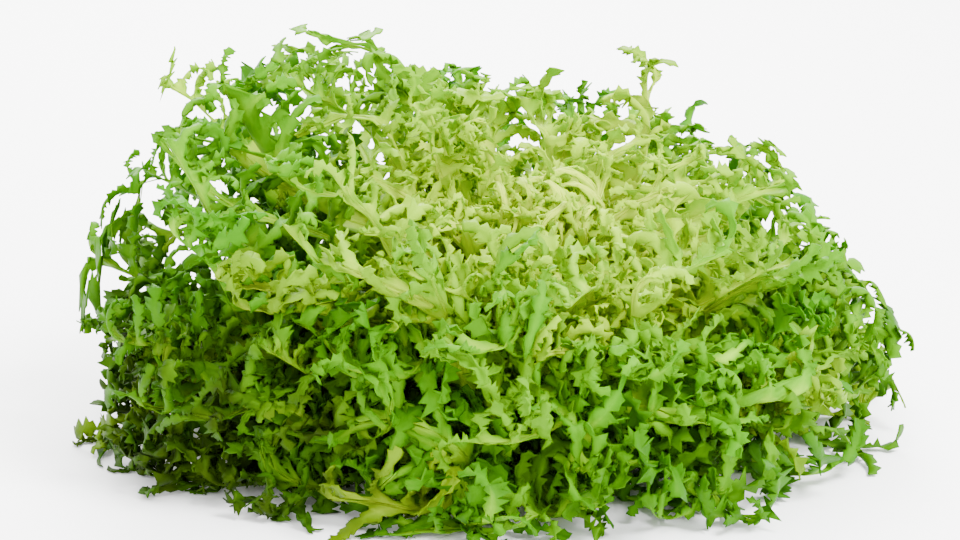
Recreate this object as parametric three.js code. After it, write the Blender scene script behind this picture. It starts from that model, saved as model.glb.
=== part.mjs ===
// A head of curly endive, cut at the butt and standing on it: a short stem whose domed crown carries
// whorls of ribbed leaves, one inside the next, round a furled heart. The heart leans to the front, so the
// front leaves arch down to the surface that the head stands on and the back leaves stand tall.
// Millimetres, +Z up, front towards -Y. The origin is at the bottom centre of the whole head.
//
// Every leaf has its own cell. A place in the head is given by its distance from the crown's centre, its
// turn round the heart's axis and its share of the way from that axis down to the surface below. A whorl
// keeps to its own shares and a leaf to its own turns, so leaves never meet, whatever the sizes are.
import * as THREE from "three";

// ---- Stem ----
const BUTT_RADIUS = 16; // the flat cut face that the head stands on
const BUTT_EDGE = 1.5; // how far the cut's rim is worn round
const CROWN_RADIUS = 20; // the dome that the leaves grow from
const CROWN_HEIGHT = 28; // the dome's centre above the cut face
const LEAF_GAP = 0.3; // between a leaf's foot and the crown
const STEM_SIDES = 24;
const STEM_CURVE_STEPS = 5; // on each curve of its profile

// ---- Outline of the whole head, measured from the stem ----
const LEFT_REACH = 166;
const RIGHT_REACH = 162;
const FRONT_REACH = 147;
const BACK_REACH = 124;
const HEAD_HEIGHT = 148;
const LEFT_SQUARENESS = 4.2; // exponent of the outline: 2 is an ellipse, and more has squarer shoulders
const RIGHT_SQUARENESS = 2.1;
const SHOULDER_BLEND = 60; // half the width over which one side's outline turns into the other's

// ---- How leaves lie ----
const FRONT_LEAN = THREE.MathUtils.degToRad(28); // of the heart's axis
const RIGHT_LEAN = THREE.MathUtils.degToRad(11);
const ARCH = 0.26; // how strongly leaves bend outwards on their way to the tip
const ARCH_LENGTH = 165; // the distance from the crown at which that bend is complete
const ARCH_POWER = 1.6; // 1 bends a leaf evenly, and more bends it later
const DROOP_LENGTH = 78; // the distance from the stem at which the lowest leaves reach the surface
const HEART_SHARE = 0.1; // the share of the way from the axis to the surface that the heart fills
const CELL_GAP = 0.6; // clear space between neighbouring cells

// ---- Leaves, from the outermost whorl inwards ----
// fullness is how near to the outline the tips come, width is across the blade, and rib and edge are the
// blade's thickness at its midrib and at its margin.
const WHORLS = [
  { name: "outer_leaf", count: 8, fullness: 1.0, width: 58, foot: 11, rib: 4.6, edge: 2.0 },
  { name: "outer_leaf", count: 8, fullness: 0.99, width: 56, foot: 11, rib: 4.6, edge: 2.0 },
  { name: "middle_leaf", count: 8, fullness: 1.0, width: 54, foot: 10, rib: 4.2, edge: 2.0 },
  { name: "middle_leaf", count: 7, fullness: 0.99, width: 54, foot: 10, rib: 4.2, edge: 2.0 },
  { name: "middle_leaf", count: 7, fullness: 1.0, width: 50, foot: 9, rib: 3.8, edge: 1.8 },
  { name: "inner_leaf", count: 6, fullness: 1.0, width: 46, foot: 9, rib: 3.6, edge: 1.6 },
  { name: "inner_leaf", count: 6, fullness: 1.0, width: 42, foot: 8, rib: 3.2, edge: 1.6 },
  { name: "heart_leaf", count: 5, fullness: 0.92, width: 34, foot: 7, rib: 3.0, edge: 1.4 },
  { name: "heart_leaf", count: 3, fullness: 0.78, width: 26, foot: 6, rib: 2.6, edge: 1.4 },
];
const GOLDEN_TURN = Math.PI * (3 - Math.sqrt(5)); // each whorl is turned by this from the last
const PETIOLE_END = 0.26; // where along a leaf its blade begins
const WIDEST = 0.74; // where along a leaf its blade is widest
const TIP_WIDTH = 7;
const LOBE_DEPTH = 0.3; // how far the margin is cut in between two lobes, as a share of the width
const SWAY = 0.7; // how much of the free room beside a leaf its course wanders over
const SWAY_RATES = [1, 3]; // radians of that wandering along a leaf, least and most
const WAVE = 0.35; // how much of the free room within its whorl a leaf rises and falls over
const WAVE_RATES = [2, 6]; // radians of that wave along a leaf, least and most
const SHORTEST = 0.94; // the shortest leaf of a whorl, as a share of the whorl's fullness
const LENGTH_STEPS = 12; // steps along a leaf, an even number so that lobes and cuts pair up

// ---- Heart ----
const HEART_LENGTH = 84; // from the crown's centre to the top of the furled heart
const HEART_BLUNTNESS = 0.6; // 1 is an egg's roundness, and less is blunter
const HEART_SIDES = 12;
const HEART_STEPS = 8;

// ---- Colours, roughness and metalness ----
const FINISHES = {
  stem: { color: 0xdfe3b4, roughness: 0.6, metalness: 0 },
  outer_leaf: { color: 0x4d7d1f, roughness: 0.5, metalness: 0 },
  middle_leaf: { color: 0x77a829, roughness: 0.5, metalness: 0 },
  inner_leaf: { color: 0xa6cc33, roughness: 0.5, metalness: 0 },
  heart_leaf: { color: 0xcfe05a, roughness: 0.5, metalness: 0 },
  heart: { color: 0xe4eb9a, roughness: 0.5, metalness: 0 },
};

const { clamp, lerp, smoothstep } = THREE.MathUtils;

// The heart's axis, and two directions square to it: one to the right and one to the back.
const axis = new THREE.Vector3(Math.sin(RIGHT_LEAN), -Math.sin(FRONT_LEAN), 0);
axis.z = Math.sqrt(1 - axis.lengthSq());
const toBack = new THREE.Vector3(0, 1, 0).addScaledVector(axis, -axis.y).normalize();
const toRight = new THREE.Vector3().crossVectors(toBack, axis).normalize();

// A repeatable number from 0 to 1 for each leaf and use.
function chance(leafNumber, use) {
  const x = Math.sin(leafNumber * 12.9898 + use * 78.233) * 43758.5453;
  return x - Math.floor(x);
}

function radialAt(turn) {
  return toRight.clone().multiplyScalar(Math.cos(turn)).addScaledVector(toBack, Math.sin(turn));
}

// The angle from the heart's axis down to the horizontal, in the half plane at this turn.
function fullAngle(turn) {
  return Math.atan2(axis.z, -radialAt(turn).z);
}

// Leaves bend outwards: a whorl's share of the full angle grows with the distance from the crown.
function archedShare(share, distance) {
  const bend = ARCH * Math.min(1, distance / ARCH_LENGTH) ** ARCH_POWER;
  return share ** (1 - bend);
}

// The place at a distance from the crown's centre, a turn round the axis and a share of the full angle.
// Away from the crown everything sinks by its height, so that a share of 1 lies on the surface below.
function placeAt(distance, turn, share) {
  const angle = share * fullAngle(turn);
  const place = axis.clone().multiplyScalar(distance * Math.cos(angle));
  place.addScaledVector(radialAt(turn), distance * Math.sin(angle));
  const outward = Math.hypot(place.x, place.y);
  place.z += CROWN_HEIGHT * (1 - smoothstep(outward, CROWN_RADIUS, DROOP_LENGTH));
  return place;
}

// 1 on the head's outline, less inside it.
function fullnessAt(place) {
  const side = smoothstep(place.x, -SHOULDER_BLEND, SHOULDER_BLEND);
  const power = lerp(LEFT_SQUARENESS, RIGHT_SQUARENESS, side);
  const x = Math.abs(place.x) / (place.x < 0 ? LEFT_REACH : RIGHT_REACH);
  const y = Math.abs(place.y) / (place.y < 0 ? FRONT_REACH : BACK_REACH);
  const z = Math.max(0, place.z) / HEAD_HEIGHT;
  return (x ** power + y ** power + z ** power) ** (1 / power);
}

// How far from the crown a leaf can grow before it reaches its fullness of the outline.
function lengthWithin(turn, share, fullness) {
  let distance = CROWN_RADIUS;
  while (fullnessAt(placeAt(distance + 1, turn, archedShare(share, distance + 1))) < fullness) distance += 1;
  return distance;
}

// A blade's width along its length: a narrow ribbed stalk, then a lobed blade with a rounded end.
function widthAt(leaf, along) {
  const opening = smoothstep(along, PETIOLE_END, WIDEST);
  const closing = Math.sqrt(Math.max(0, 1 - ((along - WIDEST) / (1 - WIDEST)) ** 2));
  const blade = along < WIDEST ? lerp(leaf.foot, leaf.width, opening) : lerp(TIP_WIDTH, leaf.width, closing);
  const step = Math.round(along * LENGTH_STEPS);
  const isCut = along > PETIOLE_END && along < 1 && step % 2 === 1;
  return isCut ? blade * (1 - LOBE_DEPTH) : blade;
}

// A box divided along its length and at its midrib, carried into the leaf's own cell.
function leafGeometry(leaf) {
  const geometry = new THREE.BoxGeometry(1, 1, 1, LENGTH_STEPS, 2, 1);
  const points = geometry.getAttribute("position");
  for (let i = 0; i < points.count; i += 1) {
    const along = points.getX(i) + 0.5;
    const across = 2 * points.getY(i);
    const isOuterFace = points.getZ(i) < 0;

    const distance = lerp(CROWN_RADIUS + LEAF_GAP, leaf.length, along);
    const inner = archedShare(leaf.innerShare, distance);
    const outer = archedShare(leaf.outerShare, distance);
    const perShare = distance * fullAngle(leaf.turn);

    // Across the leaf: its half width in turns, and its course within the free room beside it.
    const ring = distance * Math.sin(((inner + outer) / 2) * fullAngle(leaf.turn));
    const halfRoom = Math.PI / leaf.count - CELL_GAP / ring;
    const halfTurn = Math.min(widthAt(leaf, along) / 2 / ring, halfRoom);
    const wander = Math.sin(leaf.swayPhase + along * leaf.swayRate) * along;
    const middleTurn = leaf.turn + SWAY * (halfRoom - halfTurn) * wander;

    // Through the leaf: the midrib stands out from the outer face, and both faces stay inside the cell.
    const edge = leaf.edge / perShare;
    const rib = leaf.rib / perShare;
    const gap = CELL_GAP / perShare / 2;
    const room = Math.max(0, outer - inner - rib - 2 * gap);
    const rise = leaf.isLowest ? 1 : 0.5 + WAVE * Math.sin(leaf.wavePhase + along * leaf.waveRate);
    const face = inner + gap + room * rise;
    const depth = across === 0 ? rib : edge;
    const share = clamp(isOuterFace ? face + depth : face, inner, outer);

    const place = placeAt(distance, middleTurn + across * halfTurn, share);
    points.setXYZ(i, place.x, place.y, place.z);
  }
  return geometry;
}

function materialOf(name) {
  return new THREE.MeshStandardMaterial(FINISHES[name]);
}

function namedMesh(name, geometry, finish) {
  const mesh = new THREE.Mesh(geometry, materialOf(finish));
  mesh.name = name;
  return mesh;
}

// The stem: a short trunk that widens to the crown, with a flat cut face.
function stem() {
  const profile = new THREE.Path();
  profile.moveTo(0, 0);
  profile.lineTo(BUTT_RADIUS - BUTT_EDGE, 0);
  profile.quadraticCurveTo(BUTT_RADIUS, 0, BUTT_RADIUS, BUTT_EDGE);
  profile.bezierCurveTo(
    BUTT_RADIUS, CROWN_HEIGHT / 2,
    CROWN_RADIUS, CROWN_HEIGHT / 2,
    CROWN_RADIUS, CROWN_HEIGHT,
  );
  profile.absarc(0, CROWN_HEIGHT, CROWN_RADIUS, 0, Math.PI / 2);
  const geometry = new THREE.LatheGeometry(profile.getPoints(STEM_CURVE_STEPS), STEM_SIDES);
  return namedMesh("stem", geometry.rotateX(Math.PI / 2), "stem");
}

// The heart: the youngest leaves, furled into a bud that fills the cell round the axis.
function heart() {
  const geometry = new THREE.SphereGeometry(1, HEART_SIDES, HEART_STEPS);
  const points = geometry.getAttribute("position");
  for (let i = 0; i < points.count; i += 1) {
    const turn = Math.atan2(points.getZ(i), -points.getX(i));
    const distance = lerp(CROWN_RADIUS + LEAF_GAP, HEART_LENGTH, (1 + points.getY(i)) / 2);
    const roundness = Math.hypot(points.getX(i), points.getZ(i)) ** HEART_BLUNTNESS;
    const gap = CELL_GAP / (distance * fullAngle(turn));
    const share = Math.max(0, archedShare(HEART_SHARE, distance) - gap) * roundness;
    const place = placeAt(distance, turn, share);
    points.setXYZ(i, place.x, place.y, place.z);
  }
  return namedMesh("heart", geometry, "heart");
}

// Each whorl's leaves stand evenly round the axis, and each has its own length, sway and wave.
function leaves() {
  const meshes = [];
  const numbers = {};
  const cell = (1 - HEART_SHARE) / WHORLS.length;
  WHORLS.forEach((whorl, level) => {
    for (let k = 0; k < whorl.count; k += 1) {
      const number = meshes.length + 1;
      const turn = GOLDEN_TURN * level + (2 * Math.PI * k) / whorl.count;
      const outerShare = 1 - level * cell;
      const innerShare = outerShare - cell;
      const fullness = whorl.fullness * lerp(SHORTEST, 1, chance(number, 1));
      const leaf = {
        ...whorl,
        turn,
        innerShare,
        outerShare,
        isLowest: level === 0,
        length: lengthWithin(turn, (innerShare + outerShare) / 2, fullness),
        swayPhase: 2 * Math.PI * chance(number, 2),
        swayRate: lerp(...SWAY_RATES, chance(number, 3)),
        wavePhase: 2 * Math.PI * chance(number, 4),
        waveRate: lerp(...WAVE_RATES, chance(number, 5)),
      };
      numbers[whorl.name] = (numbers[whorl.name] || 0) + 1;
      const name = `${whorl.name}_${String(numbers[whorl.name]).padStart(2, "0")}`;
      meshes.push(namedMesh(name, leafGeometry(leaf), whorl.name));
    }
  });
  return meshes;
}

const head = new THREE.Group();
head.add(stem(), heart(), ...leaves());

// The origin goes to the bottom centre of the whole head.
const box = new THREE.Box3().setFromObject(head);
const middle = box.getCenter(new THREE.Vector3());
head.position.set(-middle.x, -middle.y, -box.min.z);

export default head;
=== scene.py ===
"""A head of curly endive: frilled leaves in whorls round a leaning heart, standing on its cut butt."""
import math

import bpy
import numpy as np
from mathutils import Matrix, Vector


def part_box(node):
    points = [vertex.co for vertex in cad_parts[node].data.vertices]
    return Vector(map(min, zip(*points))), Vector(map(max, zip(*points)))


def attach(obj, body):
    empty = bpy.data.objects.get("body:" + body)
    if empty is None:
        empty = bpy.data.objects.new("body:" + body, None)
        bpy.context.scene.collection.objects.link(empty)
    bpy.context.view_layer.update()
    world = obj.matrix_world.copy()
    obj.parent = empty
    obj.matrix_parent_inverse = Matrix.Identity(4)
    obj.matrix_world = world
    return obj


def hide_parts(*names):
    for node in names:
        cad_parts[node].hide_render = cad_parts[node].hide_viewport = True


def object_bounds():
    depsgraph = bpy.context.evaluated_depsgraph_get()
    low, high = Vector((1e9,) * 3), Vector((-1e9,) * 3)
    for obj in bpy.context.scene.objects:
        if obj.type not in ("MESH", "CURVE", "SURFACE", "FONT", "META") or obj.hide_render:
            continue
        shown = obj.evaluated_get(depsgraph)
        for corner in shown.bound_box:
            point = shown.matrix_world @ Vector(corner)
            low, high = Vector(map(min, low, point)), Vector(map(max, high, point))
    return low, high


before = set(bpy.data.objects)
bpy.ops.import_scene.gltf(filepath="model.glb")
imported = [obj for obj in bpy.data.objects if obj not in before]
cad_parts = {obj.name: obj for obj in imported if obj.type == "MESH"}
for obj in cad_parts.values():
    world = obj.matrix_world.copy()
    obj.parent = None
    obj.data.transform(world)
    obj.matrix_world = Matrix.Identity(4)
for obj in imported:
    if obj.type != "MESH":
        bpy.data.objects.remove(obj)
cad_low, cad_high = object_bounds()
bpy.ops.object.select_all(action="DESELECT")

# ---- Camera ----
# It stands in front of the head and a little above it, far enough off for the head to look nearly flat-on,
# and it aims at a point low on the stem's own line so that the head fills the frame from side to side.
CAMERA_ELEVATION = math.radians(17)
CAMERA_DISTANCE = 1.4
CAMERA_AIM = (-0.004, 0, 0.0655)
FRAME_WIDTH = 0.377  # what the frame's width spans at the aim

bpy.ops.object.camera_add()
camera = bpy.context.object
camera.location = (
    CAMERA_AIM[0],
    CAMERA_AIM[1] - CAMERA_DISTANCE * math.cos(CAMERA_ELEVATION),
    CAMERA_AIM[2] + CAMERA_DISTANCE * math.sin(CAMERA_ELEVATION),
)
camera.rotation_euler = (math.pi / 2 - CAMERA_ELEVATION, 0, 0)
camera.data.lens = camera.data.sensor_width * CAMERA_DISTANCE / FRAME_WIDTH
bpy.context.scene.camera = camera

# ---- Floor and light ----
# A plain white studio sweep: a level white floor in a white room, with one broad lamp above the front right
# of the head and a weaker one behind it that shines through the frills.
FLOOR_SIZE = 12
ROOM_LIGHT = 4.4
LAMPS = [
    {"name": "key", "place": (0.65, -0.55, 1.15), "size": 0.6, "watts": 66},
    {"name": "back", "place": (-0.15, 0.9, 0.9), "size": 0.8, "watts": 46},
]


def colour(hex_code):
    """A colour written as in a paint chart, as Blender's linear red, green, blue and alpha."""
    shares = [int(hex_code[i : i + 2], 16) / 255 for i in (0, 2, 4)]
    linear = [s / 12.92 if s <= 0.04045 else ((s + 0.055) / 1.055) ** 2.4 for s in shares]
    return (*linear, 1)


bpy.ops.mesh.primitive_plane_add(size=FLOOR_SIZE)
floor = bpy.context.object
floor.name = "floor"
floor_paint = bpy.data.materials.new("floor_paint")
floor_paint.use_nodes = True
floor_paint.node_tree.nodes["Principled BSDF"].inputs["Base Color"].default_value = colour("f7f7f7")
floor_paint.node_tree.nodes["Principled BSDF"].inputs["Roughness"].default_value = 0.9
floor.data.materials.append(floor_paint)

world = bpy.data.worlds.new("white_room")
world.use_nodes = True
world.node_tree.nodes["Background"].inputs["Color"].default_value = (1, 1, 1, 1)
world.node_tree.nodes["Background"].inputs["Strength"].default_value = ROOM_LIGHT
bpy.context.scene.world = world

for lamp in LAMPS:
    bpy.ops.object.light_add(type="AREA", location=lamp["place"])
    light = bpy.context.object
    light.name = lamp["name"]
    light.data.shape = "DISK"
    light.data.size = lamp["size"]
    light.data.energy = lamp["watts"]
    towards_head = -light.location
    light.rotation_euler = towards_head.to_track_quat("-Z", "Y").to_euler()

# ---- Leaves ----
# Each leaf grew as one piece: a pale, fleshy stalk that runs on as the midrib, and a thin blade on both sides
# of it, cut nearly to the rib into lobes. Lobes and their toothed fingers curl and twist each in its own way.
# Young leaves are pale and tightly curled, and old ones long and dark.
CROSS_SECTIONS = 13  # of a leaf's solid
CORNERS = 6  # of each cross-section
RIB_SIDES, RIB_RINGS = 7, 15
RIB_DEPTH = 0.62  # of its width
RIB_TAPER = 0.88
FOOT_FLARE = 0.5  # how much wider the stalk is at its foot
BLADE_START = 0.12  # where along the midline the first lobes grow
BLADE_THICKNESS = 0.0005
ROOT_TUCK = 0.7  # how deep in the rib the blade is rooted, as a share of its half width
LOBE_COLUMNS = 4  # of faces across a lobe
LOBE_WIDTH = 0.185  # half of it, as a share of the lobe's length
FINGER_LEAN = 0.55  # forwards, as a share of a finger's length
FINGER_SHAPE = (0.22, 0.80, 0.55, 0.98)  # its margin: a deep cut, a tooth, a shallow cut and a longer tooth
FINGER_BODY = (0.18, 0.50, 0.56, 0.62)  # the same without its teeth
LOBE_CROWDING = 0.9  # below 1, lobes stand closer together towards the tip
LOBE_SLANT = (math.radians(70), math.radians(8))  # how much more at the foot than at the tip, and at the tip
LOBE_SWEEP = (0.3, 1.8)  # how far a lobe sweeps round
LOBE_VARIES = {  # from lobe to lobe, either way
    "room": 0.3, "length": 0.28, "slant": 0.35, "lift": 0.65, "twist_at_root": 0.8, "twist": 1.7,
}
FINGER_VARIES = {"length": 0.38, "tooth": 0.16}
LOBE_END = 5  # the higher, the blunter
WOBBLE_STATIONS = 25
FLOOR_BLEND = 0.003  # over which a frill that hangs down flattens out on the surface
STANDS_PROUD = 0.002  # how far frills may reach past the leaves' solids, to the sides
WAY_OUT = 0.018  # over which they bend to stay within that
TOP_LINE = (  # how high frills stand, from the left of the head to its right: it dips over the heart
    (-0.168, 0.042), (-0.155, 0.080), (-0.142, 0.122), (-0.128, 0.165), (-0.050, 0.167), (0.008, 0.150),
    (0.030, 0.150), (0.056, 0.163), (0.090, 0.144), (0.126, 0.104), (0.150, 0.072), (0.168, 0.040),
)
FRONT_LINE = (  # how far forward they come, from left to right
    (-0.168, -0.020), (-0.150, -0.062), (-0.125, -0.090), (-0.060, -0.120), (-0.010, -0.155),
    (0.070, -0.155), (0.110, -0.120), (0.140, -0.078), (0.168, -0.030),
)
UNEVEN = 0.004  # how far that outline comes and goes
BACK_FALL = 0.30  # how much lower they stay towards the back
UPPER_LEFT_RISE = 0.016  # how much higher leaves stand at the upper left
RIBS_INSIDE = 0.016  # how much further in than frills the ribs stay
RIBS_VARY = 0.010  # how much more or less than that, from leaf to leaf

HEART_PLACE = (np.array(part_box("heart")[0]) + np.array(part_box("heart")[1])) / 2 + np.array([0.012, 0, 0.018])
BLANCHED_REACH = np.array([0.105, 0.115, 0.075])  # across, front to back and upwards
PALE_SPREAD = 0.5  # how much paler than their neighbours a few leaves are
OLD_AND_SHADED_LEFT = (-0.10, 0.0)  # fully old and in painted shade to the left of the first, and fresh and lit to the right of the second
OLD_AND_SHADED_LOW = (0.030, 0.120)  # fully old and in painted shade below the first, and fresh and lit above the second

# lobes is on each side, fingers on each margin of a lobe, reach a lobe's length, curl how far it rolls up,
# lift how steeply it leaves the rib, roll how far its fingers curl, and rib half the midrib's width.
KINDS = {
    "outer_leaf": {
        "lobes": 13, "fingers": 6, "reach": 0.037, "curl": 3.5, "lift": 0.65, "roll": 3.2, "rib": 0.0028,
    },
    "middle_leaf": {
        "lobes": 13, "fingers": 6, "reach": 0.035, "curl": 3.8, "lift": 0.70, "roll": 3.4, "rib": 0.0025,
    },
    "inner_leaf": {
        "lobes": 11, "fingers": 6, "reach": 0.031, "curl": 4.1, "lift": 0.75, "roll": 3.5, "rib": 0.0022,
    },
    "heart_leaf": {
        "lobes": 8, "fingers": 5, "reach": 0.021, "curl": 4.6, "lift": 0.75, "roll": 3.0, "rib": 0.0027,
    },
}
CRINKLED = {"lobes": 16, "reach": 0.031, "curl": 4.6, "lift": 0.9, "roll": 3.2}  # where a leaf is old
OLD_ENOUGH = 0.5  # how old a leaf is when it is so crinkled
WHORLS = {"outer_leaf": (8, 8), "middle_leaf": (8, 7, 7), "inner_leaf": (6, 6), "heart_leaf": (5, 3)}
WEB = {"narrow": 0.09, "broad": 0.38}  # share of a lobe's length that stays joined to its neighbours
BROAD_EVERY = 6  # one leaf in so many is a broad one
BROAD_TURN = 3


def smooth_step(x, low, high):
    """0 below low, 1 above high, and an even rise in between."""
    t = np.clip((x - low) / (high - low), 0, 1)
    return t * t * (3 - 2 * t)


def cross_sections(node):
    """The corners of a leaf's solid as 13 cross-sections, from its foot to its tip."""
    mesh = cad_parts[node].data
    corners = np.array([v.co for v in mesh.vertices])
    _, first, shared = np.unique(np.round(corners * 1e7), axis=0, return_index=True, return_inverse=True)
    corners, shared = corners[first], shared.ravel()
    beside = [set() for _ in corners]
    for polygon in mesh.polygons:
        face = [shared[v] for v in polygon.vertices]
        for corner in face:
            beside[corner].update(face)
    stem_low, stem_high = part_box("stem")
    crown = (stem_low + stem_high) / 2
    foot = np.argsort(np.linalg.norm(corners - np.array(crown), axis=1))[:CORNERS]
    reached, sections = set(foot), [list(foot)]
    while len(sections) < CROSS_SECTIONS:
        following = {n for corner in sections[-1] for n in beside[corner]} - reached
        sections.append(sorted(following))
        reached |= following
    return [corners[section] for section in sections]


def leaf_course(node):
    """Smooth curves along a leaf: its midline, the direction across it and the way its inner face looks."""
    sections = cross_sections(node)
    middles, acrosses, inners = [], [], []
    for section in sections:
        centre = section.mean(0)
        _, _, directions = np.linalg.svd(section - centre)
        across = directions[0]
        if acrosses and across @ acrosses[-1] < 0:
            across = -across
        order = np.argsort((section - centre) @ across)
        margins, midrib = section[order[[0, 1, 4, 5]]], section[order[2:4]]
        middles.append(midrib.mean(0))
        acrosses.append(across)
        inners.append(margins.mean(0) - midrib.mean(0))
    stations = np.linspace(0, 1, len(sections))
    fit = [np.polynomial.polynomial.polyfit(stations, np.array(values), 5) for values in (middles, acrosses)]
    towards_heart = np.array(inners).sum(0)
    return fit[0], fit[1], towards_heart


def course_at(course, s):
    """At shares s of a leaf: its midline's point, the way it runs, the way across and the inner face's."""
    middle, across, towards_heart = course
    value = np.polynomial.polynomial.polyval
    point = value(s, middle).T
    along = value(s, np.polynomial.polynomial.polyder(middle)).T
    along /= np.linalg.norm(along, axis=1, keepdims=True)
    side = value(s, across).T
    side -= (side * along).sum(1, keepdims=True) * along
    side /= np.linalg.norm(side, axis=1, keepdims=True)
    inner = np.cross(along, side)
    if (inner @ towards_heart).mean() < 0:
        side, inner = -side, -inner
    return point, along, side, inner


def swayed(course, dice, sway, twist):
    """The same course with a leaf's own bends to the sides and up and down, and a twist of its blade."""
    s = np.linspace(0, 1, WOBBLE_STATIONS)
    point, along, side, inner = course_at(course, s)
    growing = smooth_step(s, 0.1, 0.7)
    bends = [
        sway * growing * np.sin(2 * math.pi * (dice.uniform(0.7, 1.5) * s + dice.random())) for _ in range(2)
    ]
    point = point + bends[0][:, None] * side + bends[1][:, None] * inner
    upper_left = smooth_step(-point[:, 0], 0.06, 0.13) * smooth_step(point[:, 2], 0.06, 0.11)
    point[:, 2] += UPPER_LEFT_RISE * upper_left
    point = within_head(point, RIBS_INSIDE + dice.uniform(-RIBS_VARY, RIBS_VARY))
    turn = twist * growing * np.sin(2 * math.pi * (dice.uniform(0.5, 1.2) * s + dice.random()))
    side = np.cos(turn)[:, None] * side + np.sin(turn)[:, None] * inner
    fit = np.polynomial.polynomial.polyfit
    return fit(s, point, 7), fit(s, side, 7), inner.sum(0)


def lobes_of(course, side_sign, kind, web, dice, scale):
    """Half a leaf's blade: its points by lobe, row along the lobe and column across it, and their shares."""
    lobes, fingers, columns = kind["lobes"], kind["fingers"], LOBE_COLUMNS
    rows = fingers * len(FINGER_SHAPE)
    across = np.linspace(-1, 1, columns + 1)
    t = np.arange(rows + 1) / rows
    share = (np.arange(lobes) + 0.5) / lobes

    def vary(spread, *shape):
        """Even random values around 0."""
        return spread * (2 * dice.random(shape) - 1)

    def either_way(least, most, ahead, *shape):
        """Random sizes between least and most, a share of them ahead and the others the other way."""
        return dice.uniform(least, most, shape) * np.where(dice.random(shape) < ahead, 1, -1)

    # The rib's line that each lobe grows from, split between the lobes.
    edges = BLADE_START + (1 - BLADE_START) * (np.arange(lobes + 1) / lobes) ** LOBE_CROWDING
    edges[1:-1] += vary(LOBE_VARIES["room"], lobes - 1) * np.diff(edges)[1:]
    roots = edges[:-1, None] + np.diff(edges)[:, None] * ((across + 1) / 2 * columns + 0.5) / (columns + 1)
    middle_root = (edges[:-1] + edges[1:]) / 2
    point, along, side, inner = course_at(course, middle_root)
    side = side * side_sign
    root_point, _, root_side, _ = course_at(course, roots.ravel())
    tuck = ROOT_TUCK * kind["rib"] * scale * (1 - RIB_TAPER * roots.ravel())
    root_point = (root_point + root_side * side_sign * tuck[:, None]).reshape(lobes, 1, columns + 1, 3)
    start = root_point.mean(axis=2)[:, 0]

    # Each lobe's own line: it leaves the rib at a slant, rises off the blade, sweeps round and rolls up.
    length = kind["reach"] * scale * (0.4 + 0.6 * smooth_step(share, 0, 0.4)) * (1 - 0.15 * share**3)
    length = length * (1 + vary(LOBE_VARIES["length"], lobes))
    heading = LOBE_SLANT[0] * (1 - share**2) + LOBE_SLANT[1] + vary(LOBE_VARIES["slant"], lobes)
    heading = heading[:, None] + either_way(*LOBE_SWEEP, 0.4, lobes)[:, None] * t**1.2
    lift = kind["lift"] + vary(LOBE_VARIES["lift"], lobes)
    curl = kind["curl"] * either_way(0.25, 1.0, 0.7, lobes)
    rise = lift[:, None] * smooth_step(t, 0, 0.3) + curl[:, None] * t**2
    roll = vary(LOBE_VARIES["twist_at_root"], lobes)[:, None] * smooth_step(t, 0, 0.35)
    roll = roll + vary(LOBE_VARIES["twist"], lobes)[:, None] * t
    cos, sin = np.cos(heading)[..., None], np.sin(heading)[..., None]
    flat = cos * along[:, None] + sin * side[:, None]
    cross_flat = sin * along[:, None] - cos * side[:, None]
    cos, sin = np.cos(rise)[..., None], np.sin(rise)[..., None]
    forward = cos * flat + sin * inner[:, None]
    upward = -sin * flat + cos * inner[:, None]
    cos, sin = np.cos(roll)[..., None], np.sin(roll)[..., None]
    sideways = cos * cross_flat + sin * upward
    upward = -sin * cross_flat + cos * upward
    line = np.cumsum(forward * (length / rows)[:, None, None], axis=1)
    line = start[:, None] + line - line[:, :1]

    # The margins: each finger has its own length and roll, and every tooth its own length.
    finger = np.minimum(np.arange(rows + 1) // len(FINGER_SHAPE), fingers - 1)
    in_finger = np.arange(rows + 1) % len(FINGER_SHAPE)
    finger_length = (1 + vary(FINGER_VARIES["length"], lobes, 2, fingers))[:, :, finger]
    tooth_length = 1 + vary(FINGER_VARIES["tooth"], lobes, 2, rows + 1)
    toothed = np.array(FINGER_SHAPE)[in_finger] * finger_length * tooth_length
    untoothed = np.array(FINGER_BODY)[in_finger] * finger_length
    finger_roll = (kind["roll"] * either_way(0.3, 1.2, 0.6, lobes, 2, fingers))[:, :, finger]
    outline = (0.5 + 0.5 * smooth_step(t, 0.0, 0.4)) * np.sqrt(np.maximum(1 - t**LOBE_END, 0))
    width = LOBE_WIDTH * length[:, None] * outline
    which_side = (across > 0).astype(int)
    at_margin = (np.abs(across) > 0.99)[None, None]
    toothed, untoothed, finger_roll = (
        margins.transpose(0, 2, 1)[..., which_side] for margins in (toothed, untoothed, finger_roll)
    )
    out = np.where(at_margin, toothed, untoothed) * np.abs(across) * width[..., None]
    bend = finger_roll / (LOBE_WIDTH * length)[:, None, None]
    aside = np.sin(bend * out) / bend * np.sign(across)
    above = (1 - np.cos(bend * out)) / bend
    ahead = FINGER_LEAN * np.abs(aside)
    offset = aside[..., None] * sideways[:, :, None] + above[..., None] * upward[:, :, None]
    offset = offset + ahead[..., None] * forward[:, :, None]
    parted = smooth_step(t, web * 0.4, web + 0.2)[None, :, None, None]
    offset = parted * offset + (1 - parted) * (root_point - start[:, None, None])
    points = line[:, :, None] + offset
    outwards = t[None, :, None] * (length / kind["reach"])[:, None, None]
    shares = 0.62 * outwards + 0.5 * out / (LOBE_WIDTH * kind["reach"])
    return points, shares


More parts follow.
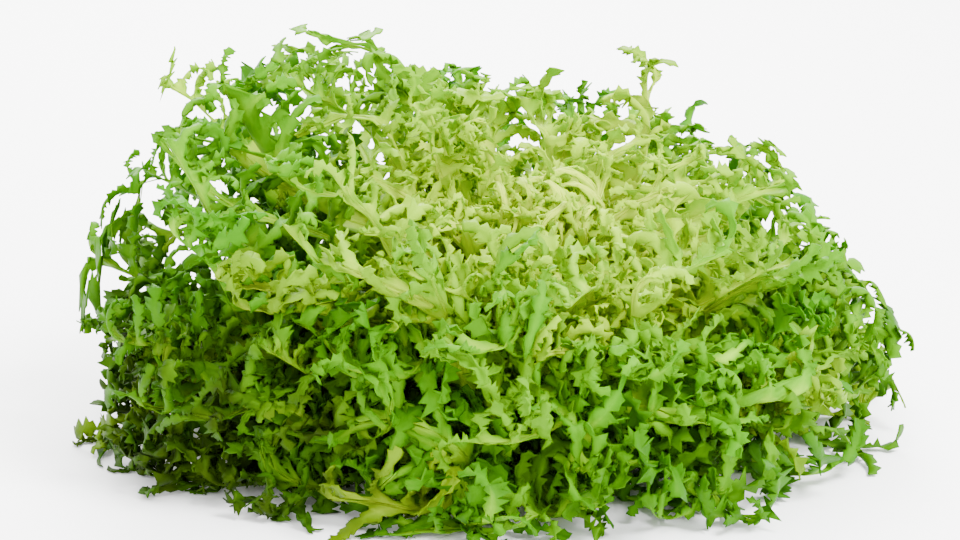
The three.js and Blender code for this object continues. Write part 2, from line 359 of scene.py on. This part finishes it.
def within_head(points, inside=0.0):
    """Frills that would reach too far out of the head bend back, and those on the surface lie flat on it."""
    x, y, z = points[..., 0], points[..., 1], points[..., 2]
    uneven = UNEVEN * (np.sin(110 * y + 60 * x) + np.sin(150 * z - 80 * y))

    def held_below(value, limit):
        over = value - (limit - inside - WAY_OUT)
        return value - np.where(over > 0, over - WAY_OUT * np.tanh(over / WAY_OUT), 0)

    top = np.interp(x + uneven, *np.array(TOP_LINE).T) - BACK_FALL * np.maximum(y, 0) + uneven
    front = np.interp(x + uneven, *np.array(FRONT_LINE).T)
    z = held_below(z, top)
    y = -held_below(-held_below(y, cad_high[1] + STANDS_PROUD + uneven), -front + uneven)
    x = -held_below(-held_below(x, cad_high[0] + STANDS_PROUD + uneven), -cad_low[0] + STANDS_PROUD + uneven)
    z = (z + np.sqrt(z**2 + FLOOR_BLEND**2)) / 2 + BLADE_THICKNESS
    return np.stack([x, y, z], axis=-1)


def blanching(points):
    """1 at the heart, where no light reached the growing leaves, and 0 away from it."""
    away = np.linalg.norm((points - HEART_PLACE) / BLANCHED_REACH, axis=-1)
    return 1 - smooth_step(away, 0.2, 1)


def ageing_and_shade(points, own):
    """1 low on the left of the head, where leaves are old and where painted shade darkens them, and 0 where they
    are fresh and lit.
    """
    left_side = 1 - smooth_step(points[..., 0], *OLD_AND_SHADED_LEFT)
    low_down = 1 - smooth_step(points[..., 2], *OLD_AND_SHADED_LOW)
    return np.clip(left_side * low_down * (0.75 + 0.5 * own[0]) + 0.3 * own[0] ** 2, 0, 1)


def grown(course, kind):
    """A leaf's kind, more finely crinkled if it lies where leaves are old."""
    outer_half = course_at(course, np.array([0.6, 0.8, 1.0]))[0]
    return {**kind, **CRINKLED} if ageing_and_shade(outer_half, (0.5, 0)).mean() > OLD_ENOUGH else kind


def coloured(piece, points, shares, own):
    """Notes for the paint, at each point: how far out on the blade it is, how blanched, and how old and how deep
    in painted shade.
    """
    blanched = np.clip(blanching(points) + PALE_SPREAD * own[1] ** 3, 0, 1)
    notes = {"blade": shares, "blanched": blanched, "age_and_shade": ageing_and_shade(points, own)}
    for name, values in notes.items():
        note = piece.data.attributes.new(name, "FLOAT", "POINT")
        note.data.foreach_set("value", values.ravel().astype(np.float32))


def leaf_piece(name, course, kind, dice, web=WEB["narrow"]):
    """A leaf: its blade is a sheet of lobes, each cut free of the next, and its rib a tapering stalk."""
    scale = 0.92 + 0.16 * dice.random()
    halves = [lobes_of(course, side_sign, kind, web, dice, scale) for side_sign in (-1, 1)]
    points = np.concatenate([points for points, _ in halves])
    shares = np.concatenate([shares for _, shares in halves])
    lobes, rows, columns = shares.shape
    points = within_head(points.transpose(1, 0, 2, 3).reshape(rows, lobes * columns, 3))
    shares = shares.transpose(1, 0, 2).reshape(rows, lobes * columns)
    own = dice.random(2)

    bpy.ops.mesh.primitive_grid_add(x_subdivisions=lobes * columns - 1, y_subdivisions=rows - 1)
    leaf = bpy.context.object
    leaf.name = name
    leaf.data.name = name
    leaf.data.vertices.foreach_set("co", points.reshape(-1).astype(np.float32))
    coloured(leaf, points, shares, own)
    cut = np.zeros((rows - 1, lobes * columns - 1), bool)
    cut[round(web * (rows - 1)) :, columns - 1 :: columns] = True
    cut[:, lobes // 2 * columns - 1] = True
    leaf.data.polygons.foreach_set("select", cut.ravel())
    bpy.ops.object.mode_set(mode="EDIT")
    bpy.ops.mesh.delete(type="FACE")
    bpy.ops.object.mode_set(mode="OBJECT")
    bpy.ops.object.shade_smooth()
    solidify = leaf.modifiers.new("thickness", "SOLIDIFY")
    solidify.thickness = BLADE_THICKNESS
    solidify.offset = 0
    bpy.ops.object.modifier_apply(modifier=solidify.name)

    # The rib, from a ball drawn out along the midline.
    bpy.ops.mesh.primitive_uv_sphere_add(segments=RIB_SIDES, ring_count=RIB_RINGS, radius=1)
    rib = bpy.context.object
    ball = np.empty(len(rib.data.vertices) * 3, np.float32)
    rib.data.vertices.foreach_get("co", ball)
    ball = ball.reshape(-1, 3).astype(float)
    station = np.clip(np.arccos(np.clip(ball[:, 2], -1, 1)) / math.pi, 0, 1)
    point, along, side, inner = course_at(course, station)
    flare = 1 + FOOT_FLARE * (1 - smooth_step(station, 0, 0.3))
    half = kind["rib"] * scale * (1 - RIB_TAPER * station) * flare
    round_about = np.hypot(ball[:, 0], ball[:, 1])
    turn = np.arctan2(ball[:, 1], ball[:, 0])
    half = half * np.where(round_about > 1e-6, 1, 0)
    wide, deep = half * np.cos(turn), RIB_DEPTH * half * np.sin(turn)
    points = within_head(point + wide[:, None] * side + deep[:, None] * inner)
    rib.data.vertices.foreach_set("co", points.reshape(-1).astype(np.float32))
    coloured(rib, points, np.zeros(len(points)), own)
    bpy.ops.object.shade_smooth()
    leaf.select_set(True)
    bpy.context.view_layer.objects.active = leaf
    bpy.ops.object.join()
    return leaf


def leaf_flesh(name, rib, blade, margin, glow):
    """Leaf: pale along the ribs and green out to the margin, yellow near the heart, dark where it is old and
    where shade is painted in low on the left.
    """
    material = bpy.data.materials.new(name)
    material.use_nodes = True
    nodes, links = material.node_tree.nodes, material.node_tree.links
    surface = nodes["Principled BSDF"]
    surface.inputs["Roughness"].default_value = 0.5
    surface.inputs["Specular IOR Level"].default_value = 0.3
    surface.inputs["Specular Tint"].default_value = (0.55, 0.85, 0.08, 1)

    def noise(scale, detail):
        node = nodes.new("ShaderNodeTexNoise")
        node.inputs["Scale"].default_value = scale
        node.inputs["Detail"].default_value = detail
        links.new(place.outputs["Object"], node.inputs["Vector"])
        return node

    def attribute(kind):
        node = nodes.new("ShaderNodeAttribute")
        node.attribute_name = kind
        return node

    def painted_over(under, over, amount):
        node = nodes.new("ShaderNodeMix")
        node.data_type = "RGBA"
        links.new(amount, node.inputs["Factor"])
        links.new(under, node.inputs["A"])
        node.inputs["B"].default_value = colour(over)
        return node.outputs["Result"]

    place = nodes.new("ShaderNodeTexCoord")
    mottle = noise(60, 5)
    spread = nodes.new("ShaderNodeMath")
    spread.operation = "MULTIPLY_ADD"
    spread.inputs[1].default_value = 0.9
    links.new(mottle.outputs["Fac"], spread.inputs[0])
    links.new(attribute("blade").outputs["Fac"], spread.inputs[2])
    ramp = nodes.new("ShaderNodeValToRGB")
    ramp.color_ramp.elements[0].position = 0.40
    ramp.color_ramp.elements[0].color = colour(rib)
    ramp.color_ramp.elements[1].position = 1.0
    ramp.color_ramp.elements[1].color = colour(margin)
    ramp.color_ramp.elements.new(0.68).color = colour(blade)
    links.new(spread.outputs["Value"], ramp.inputs["Fac"])
    blanched = attribute("blanched").outputs["Fac"]
    skin = painted_over(ramp.outputs["Color"], BLANCHED, blanched)
    on_rib = nodes.new("ShaderNodeMapRange")
    on_rib.inputs["From Min"].default_value = 0.45
    on_rib.inputs["From Max"].default_value = 0.75
    on_rib.inputs["To Min"].default_value = 0.85
    on_rib.inputs["To Max"].default_value = 0
    links.new(spread.outputs["Value"], on_rib.inputs["Value"])
    pale_rib = nodes.new("ShaderNodeMath")
    pale_rib.operation = "MULTIPLY"
    links.new(on_rib.outputs["Result"], pale_rib.inputs[0])
    links.new(blanched, pale_rib.inputs[1])
    skin = painted_over(skin, PALE_RIB, pale_rib.outputs["Value"])
    # Painted shade: low on the left of the head the skin is darkened towards a dark olive. This stands partly
    # for older leaves there and partly for the shade on that side, away from the key lamp.
    age_and_shade_amount = nodes.new("ShaderNodeMath")
    age_and_shade_amount.operation = "MULTIPLY"
    age_and_shade_amount.use_clamp = True
    links.new(attribute("age_and_shade").outputs["Fac"], age_and_shade_amount.inputs[0])
    patches = nodes.new("ShaderNodeMapRange")
    patches.inputs["From Min"].default_value = 0.35
    patches.inputs["From Max"].default_value = 0.6
    patches.inputs["To Min"].default_value = 1.1
    patches.inputs["To Max"].default_value = 0.55
    links.new(noise(38, 3).outputs["Fac"], patches.inputs["Value"])
    links.new(patches.outputs["Result"], age_and_shade_amount.inputs[1])
    skin = painted_over(skin, OLD_AND_SHADED, age_and_shade_amount.outputs["Value"])
    links.new(skin, surface.inputs["Base Color"])

    bump = nodes.new("ShaderNodeBump")
    bump.inputs["Strength"].default_value = 0.5
    bump.inputs["Distance"].default_value = 0.0005
    links.new(noise(520, 3).outputs["Fac"], bump.inputs["Height"])
    links.new(bump.outputs["Normal"], surface.inputs["Normal"])

    through = nodes.new("ShaderNodeBsdfTranslucent")
    links.new(skin, through.inputs["Color"])
    mix = nodes.new("ShaderNodeMixShader")
    mix.inputs["Fac"].default_value = glow
    links.new(surface.outputs["BSDF"], mix.inputs[1])
    links.new(through.outputs["BSDF"], mix.inputs[2])
    links.new(mix.outputs["Shader"], nodes["Material Output"].inputs["Surface"])
    return material


BLANCHED = "b4d600"
PALE_RIB = "d4e638"
# The dark olive of older leaves, also painted in as shade low on the left of the head.
OLD_AND_SHADED = "203404"
FLESH = {
    "outer_leaf": leaf_flesh("outer_leaf_flesh", "84ba14", "468600", "306c00", 0.42),
    "middle_leaf": leaf_flesh("middle_leaf_flesh", "94c814", "589e00", "3e8400", 0.45),
    "inner_leaf": leaf_flesh("inner_leaf_flesh", "98c60e", "6aaa00", "509400", 0.48),
    "heart_leaf": leaf_flesh("heart_leaf_flesh", "b2d416", "90be00", "76ac00", 0.50),
}


def finish_leaf(leaf, kind_name):
    """Paints a leaf and lets it move with the head."""
    leaf.data.materials.clear()
    leaf.data.materials.append(FLESH[kind_name])
    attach(leaf, "root")


SWAY = 0.009
TWIST = 0.7
bpy.context.tool_settings.mesh_select_mode = (False, False, True)
leaf_nodes = sorted(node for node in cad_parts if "_leaf_" in node)
courses = {node: leaf_course(node) for node in leaf_nodes}
for number, node in enumerate(leaf_nodes):
    kind_name = node.rsplit("_", 1)[0]
    dice = np.random.default_rng(number)
    web = WEB["broad"] if number % BROAD_EVERY == BROAD_TURN else WEB["narrow"]
    kind = grown(courses[node], KINDS[kind_name])
    leaf = leaf_piece(node + "_frilled", swayed(courses[node], dice, SWAY, TWIST), kind, dice, web)
    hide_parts(node)
    finish_leaf(leaf, kind_name)

# ---- Leaves in between ----
# A head has more leaves than its whorls of large ones. Between every two neighbours of a whorl grew two more,
# or three where leaves are old, a little slimmer than they are. Each takes its course from the two beside it.
BETWEEN_FINGERS = 5
BETWEEN_LOBES = 0.85  # of as many as its neighbours have
BETWEEN_PLACES = (0.35, 0.67)  # on the way from one neighbour to the next
CROWDED_PLACES = (0.22, 0.48, 0.76)  # the same where leaves are old and crinkled
BETWEEN_LENGTHS = (0.90, 1.0)  # of its neighbours' length


def between(first, second, place, length):
    """The course at some place between two leaves', as long as they are, from the crown outwards."""
    facing = 1 if course_at(first, MIDDLE)[2][0] @ course_at(second, MIDDLE)[2][0] > 0 else -1
    middle = (1 - place) * first[0] + place * second[0]
    foot = middle[0]
    lengths = [np.linalg.norm(course_at(course, TIP)[0][0] - course[0][0]) for course in (first, second)]
    own_length = np.linalg.norm(np.polynomial.polynomial.polyval(1.0, middle) - foot)
    longer = length * (lengths[0] + lengths[1]) / 2 / own_length
    middle = middle * longer
    middle[0] = foot
    return middle, (1 - place) * first[1] + facing * place * second[1], (first[2] + second[2]) / 2


MIDDLE, TIP = np.array([0.5]), np.array([1.0])
neighbours = []
for kind_name, counts in WHORLS.items():
    start = 1
    for count in counts:
        ring = [f"{kind_name}_{start + k:02d}" for k in range(count)]
        neighbours += [(kind_name, ring[k], ring[(k + 1) % count]) for k in range(count)]
        start += count
for number, (kind_name, first, second) in enumerate(neighbours):
    halfway = between(courses[first], courses[second], 0.5, 1.0)
    crowded = grown(halfway, KINDS[kind_name]) is not KINDS[kind_name]
    for which, place in enumerate(CROWDED_PLACES if crowded else BETWEEN_PLACES):
        dice = np.random.default_rng(1000 + 10 * number + which)
        course = between(courses[first], courses[second], place, dice.uniform(*BETWEEN_LENGTHS))
        kind = grown(course, KINDS[kind_name])
        kind = {**kind, "fingers": BETWEEN_FINGERS, "lobes": round(BETWEEN_LOBES * kind["lobes"])}
        leaf = leaf_piece(f"between_{first}_{which + 1}", swayed(course, dice, SWAY, TWIST), kind, dice)
        finish_leaf(leaf, kind_name)

# ---- Heart ----
# The youngest leaves: small, pale and tender, furled round the growing point. Each is little more than a rib
# with a narrow frill, and curls over on itself at the top like a wood shaving.
HEART_RINGS = [
    {"leaves": 6, "radius": 0.006, "straight": 0.90, "loop": 0.0085, "round": 4.0},
    {"leaves": 9, "radius": 0.014, "straight": 0.94, "loop": 0.0105, "round": 3.8},
    {"leaves": 11, "radius": 0.024, "straight": 0.92, "loop": 0.0125, "round": 3.4},
]
CURL_STATIONS = 25
HEART_KIND = {
    "lobes": 6, "fingers": 3, "reach": 0.010, "curl": 2.2, "lift": 0.5, "roll": 2.4, "rib": 0.0026,
}

heart_low, heart_high = (np.array(corner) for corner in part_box("heart"))
stem_low, stem_high = (np.array(corner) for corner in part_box("stem"))
crown = np.array([(stem_low[0] + stem_high[0]) / 2, (stem_low[1] + stem_high[1]) / 2, stem_high[2] - 0.02])
heart_middle = (heart_low + heart_high) / 2
heart_axis = (heart_middle - crown) / np.linalg.norm(heart_middle - crown)
heart_length = np.linalg.norm(heart_middle - crown) + np.linalg.norm(heart_high - heart_low) / 2 * 0.9
heart_side = np.cross(heart_axis, [0, 1, 0])
heart_side /= np.linalg.norm(heart_side)
heart_back = np.cross(heart_side, heart_axis)
curls = []
for ring_number, ring in enumerate(HEART_RINGS):
    for k in range(ring["leaves"]):
        dice = np.random.default_rng(2000 + 100 * ring_number + k)
        turn = 2 * math.pi * (k + 0.37 * ring_number) / ring["leaves"] + 0.3 * dice.random()
        out = math.cos(turn) * heart_side + math.sin(turn) * heart_back
        over = turn + math.pi + dice.uniform(-1.3, 1.3)
        towards = math.cos(over) * heart_side + math.sin(over) * heart_back
        across = np.cross(heart_axis, towards)
        straight = heart_length * ring["straight"] * dice.uniform(0.9, 1.06)
        loop, whole = ring["loop"] * dice.uniform(0.8, 1.25), ring["round"] * dice.uniform(0.8, 1.2)
        travelled = np.linspace(0.3 * straight, straight + loop * whole, CURL_STATIONS)
        bent = np.maximum(travelled - straight, 0) / loop
        up = np.minimum(travelled, straight) + loop * np.sin(bent)
        line = crown + up[:, None] * heart_axis + (loop * (1 - np.cos(bent)))[:, None] * towards
        line = line + (ring["radius"] * travelled / travelled[-1])[:, None] * out
        stations = np.linspace(0, 1, CURL_STATIONS)
        fit = np.polynomial.polynomial.polyfit
        course = (fit(stations, line, 9), fit(stations, np.tile(across, (CURL_STATIONS, 1)), 1), towards)
        curls.append(leaf_piece(f"heart_curl_{len(curls) + 1:02d}", course, HEART_KIND, dice))
FLESH["heart"] = leaf_flesh("heart_flesh", "c4dc18", "b4d200", "a0c800", 0.50)
for curl in curls:
    finish_leaf(curl, "heart")
bpy.ops.object.select_all(action="DESELECT")
for curl in curls:
    curl.select_set(True)
bpy.context.view_layer.objects.active = curls[0]
bpy.ops.object.join()
heart = bpy.context.object
heart.name = "heart_curls"
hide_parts("heart")

# ---- Stem ----
# The short solid stump that all the leaves grew from: white, firm flesh with a rough skin where old leaves
# came away. The knife left its foot flat, and the cut has gone brown in the air.
CUT_DEPTH = (0.0003, 0.0012)  # fully brown below the first, and clean above the second

stump = bpy.data.materials.new("stem_flesh")
stump.use_nodes = True
nodes, links = stump.node_tree.nodes, stump.node_tree.links
surface = nodes["Principled BSDF"]
surface.inputs["Roughness"].default_value = 0.6
surface.inputs["Subsurface Weight"].default_value = 0.1
surface.inputs["Subsurface Scale"].default_value = 0.003
place = nodes.new("ShaderNodeTexCoord")
grain = nodes.new("ShaderNodeTexNoise")
grain.inputs["Scale"].default_value = 140
grain.inputs["Detail"].default_value = 4
links.new(place.outputs["Object"], grain.inputs["Vector"])
skin = nodes.new("ShaderNodeValToRGB")
skin.color_ramp.elements[0].position = 0.35
skin.color_ramp.elements[0].color = colour("b4b884")
skin.color_ramp.elements[1].position = 0.65
skin.color_ramp.elements[1].color = colour("cdceaa")
links.new(grain.outputs["Fac"], skin.inputs["Fac"])
cut = nodes.new("ShaderNodeValToRGB")
cut.color_ramp.elements[0].position = 0.3
cut.color_ramp.elements[0].color = colour("6e4a26")
cut.color_ramp.elements[1].position = 0.7
cut.color_ramp.elements[1].color = colour("9c7444")
links.new(grain.outputs["Fac"], cut.inputs["Fac"])
height = nodes.new("ShaderNodeSeparateXYZ")
links.new(place.outputs["Object"], height.inputs["Vector"])
clean = nodes.new("ShaderNodeMapRange")
clean.inputs["From Min"].default_value = CUT_DEPTH[0]
clean.inputs["From Max"].default_value = CUT_DEPTH[1]
links.new(height.outputs["Z"], clean.inputs["Value"])
both = nodes.new("ShaderNodeMix")
both.data_type = "RGBA"
links.new(clean.outputs["Result"], both.inputs["Factor"])
links.new(cut.outputs["Color"], both.inputs["A"])
links.new(skin.outputs["Color"], both.inputs["B"])
links.new(both.outputs["Result"], surface.inputs["Base Color"])
bump = nodes.new("ShaderNodeBump")
bump.inputs["Strength"].default_value = 0.5
bump.inputs["Distance"].default_value = 0.0008
links.new(grain.outputs["Fac"], bump.inputs["Height"])
links.new(bump.outputs["Normal"], surface.inputs["Normal"])
for stem_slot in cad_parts["stem"].material_slots:
    stem_slot.material = stump
